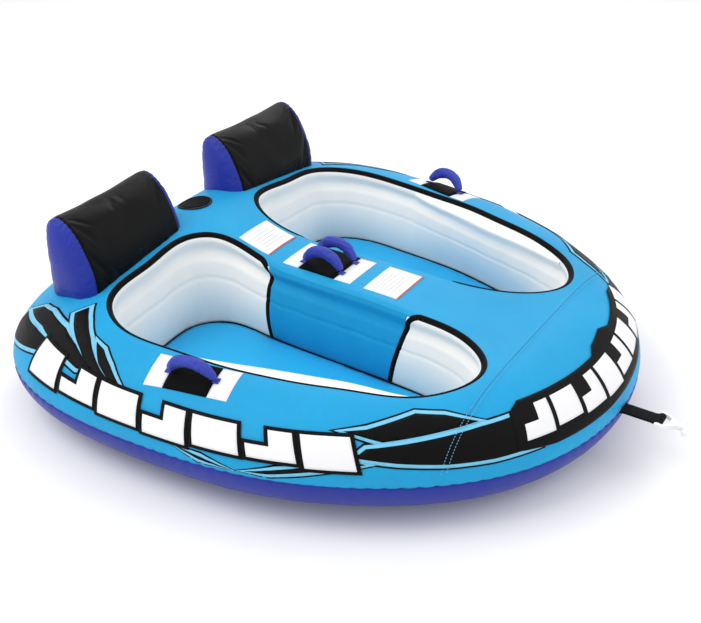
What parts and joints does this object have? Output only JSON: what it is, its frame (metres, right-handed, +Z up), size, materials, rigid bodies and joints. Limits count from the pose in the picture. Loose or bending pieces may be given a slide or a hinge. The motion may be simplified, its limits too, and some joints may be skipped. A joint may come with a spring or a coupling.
{
  "type": "towable tube",
  "caption": "Low oval inflatable tube towed behind a boat, with side-by-side cockpits, padded backrests, arch handles and a tow hook at the nose.",
  "frame": {"origin": "on the ground under the middle of the hull, on its centre plane", "axes": "+X forward to the nose and tow hook, +Y to the port side, +Z up"},
  "size_m": [1.8524, 1.6388, 0.5401],
  "materials": {
    "cover_blue": "sky-blue coated nylon, fine weave",
    "band_blue": "royal-blue coated nylon",
    "wall_white": "white coated nylon",
    "floor_blue": "sky-blue coated nylon",
    "wrap_black": "black coated nylon, soft sheen",
    "binding_black": "black knitted binding tape",
    "pad_black": "black neoprene",
    "grip_blue": "royal-blue nylon over foam",
    "patch_white": "white reinforcement fabric",
    "webbing_black": "black woven webbing",
    "bladder": "PVC film, inflated",
    "valve_plastic": "black moulded plastic",
    "hook_white": "white moulded nylon",
    "zip_black": "black coil zip",
    "metal": "zip slider"
  },
  "bodies": {
    "hull": {"backrest_bladder_left": "bladder", "backrest_bladder_right": "bladder", "backrest_end_inner_left": "band_blue", "backrest_end_inner_right": "band_blue", "backrest_end_outer_left": "band_blue", "backrest_end_outer_right": "band_blue", "backrest_valve_left": "valve_plastic", "backrest_valve_right": "valve_plastic", "backrest_wrap_left": "wrap_black", "backrest_wrap_right": "wrap_black", "backrest_zip_left": "zip_black", "backrest_zip_right": "zip_black", "bottom_panel": "band_blue", "cockpit_binding_left": "binding_black", "cockpit_binding_right": "binding_black", "cockpit_floor_left": "floor_blue", "cockpit_floor_right": "floor_blue", "cockpit_wall_left": "wall_white", "cockpit_wall_right": "wall_white", "console_bladder": "bladder", "console_handle_patches": "patch_white", "console_handle_webbing": "grip_blue", "console_knuckle_pad": "pad_black", "console_panel_left": "cover_blue", "console_panel_right": "cover_blue", "floor_bladder_left": "bladder", "floor_bladder_right": "bladder", "floor_valve_left": "valve_plastic", "floor_valve_right": "valve_plastic", "label_front": "patch_white", "label_rear": "patch_white", "lower_side_band": "band_blue", "main_valve": "valve_plastic", "main_zip": "zip_black", "nose_cover": "cover_blue", "panel_binding_left": "binding_black", "panel_binding_right": "binding_black", "ring_bladder": "bladder", "side_handle_patches_left": "patch_white", "side_handle_patches_right": "patch_white", "side_handle_webbing_left": "grip_blue", "side_handle_webbing_right": "grip_blue", "side_knuckle_pad_left": "pad_black", "side_knuckle_pad_right": "pad_black", "top_cover": "cover_blue", "tow_harness": "webbing_black"},
    "side_grip_left": {"side_grip_left": "grip_blue"},
    "side_grip_right": {"side_grip_right": "grip_blue"},
    "console_grip_left": {"console_grip_left": "grip_blue"},
    "console_grip_right": {"console_grip_right": "grip_blue"},
    "tow_strap": {"tow_strap": "webbing_black"},
    "tow_hook": {"tow_hook": "hook_white"},
    "valve_flap": {"valve_flap": "pad_black"},
    "main_valve_cap": {"main_valve_cap": "valve_plastic"},
    "main_zip_slider": {"main_zip_slider": "metal"},
    "backrest_zip_slider_left": {"backrest_zip_slider_left": "metal"},
    "backrest_zip_slider_right": {"backrest_zip_slider_right": "metal"}
  },
  "joints": [
    {"name": "side_grip_left_tilt", "type": "hinge", "parent": "hull", "child": "side_grip_left", "pos_m": [-0.0676, 0.66779, 0.31266], "axis": [0.9827, -0.1835, 0.0242], "range_deg": [-40, 40], "stiffness_Nm_per_rad": 0.6},
    {"name": "side_grip_right_tilt", "type": "hinge", "parent": "hull", "child": "side_grip_right", "pos_m": [-0.0676, -0.66779, 0.31266], "axis": [0.9827, 0.1835, 0.0242], "range_deg": [-40, 40], "stiffness_Nm_per_rad": 0.6},
    {"name": "console_grip_left_tilt", "type": "hinge", "parent": "hull", "child": "console_grip_left", "pos_m": [-0.093, 0.037, 0.325], "axis": [1, 0, 0], "range_deg": [-40, 40], "stiffness_Nm_per_rad": 0.6},
    {"name": "console_grip_right_tilt", "type": "hinge", "parent": "hull", "child": "console_grip_right", "pos_m": [-0.093, -0.037, 0.325], "axis": [1, 0, 0], "range_deg": [-40, 40], "stiffness_Nm_per_rad": 0.6},
    {"name": "tow_strap_swing", "type": "hinge", "parent": "hull", "child": "tow_strap", "pos_m": [0.847, 0, 0.149], "axis": [0, 1, 0], "range_deg": [-55, 45], "stiffness_Nm_per_rad": 4},
    {"name": "tow_hook_swing", "type": "hinge", "parent": "tow_strap", "child": "tow_hook", "pos_m": [0.938, 0, 0.149], "axis": [0, 1, 0], "range_deg": [-60, 60]},
    {"name": "main_zip_slide", "type": "slide", "parent": "hull", "child": "main_zip_slider", "axis": [0, 1, 0], "range_m": [0, 0.6]},
    {"name": "valve_flap_lift", "type": "hinge", "parent": "hull", "child": "valve_flap", "pos_m": [-0.54678, 0, 0.38454], "axis": [0, 1, 0], "range_deg": [0, 120]},
    {"name": "valve_cap_turn", "type": "hinge", "parent": "hull", "child": "main_valve_cap", "pos_m": [-0.59863, 0, 0.36526], "axis": [-0.1369, 0, 0.9906], "continuous": true},
    {"name": "backrest_zip_left_slide", "type": "slide", "parent": "hull", "child": "backrest_zip_slider_left", "axis": [0.0262, 0.9997, 0], "range_m": [0, 0.29]},
    {"name": "backrest_zip_right_slide", "type": "slide", "parent": "hull", "child": "backrest_zip_slider_right", "axis": [0.0262, -0.9997, 0], "range_m": [0, 0.29]}
  ]
}
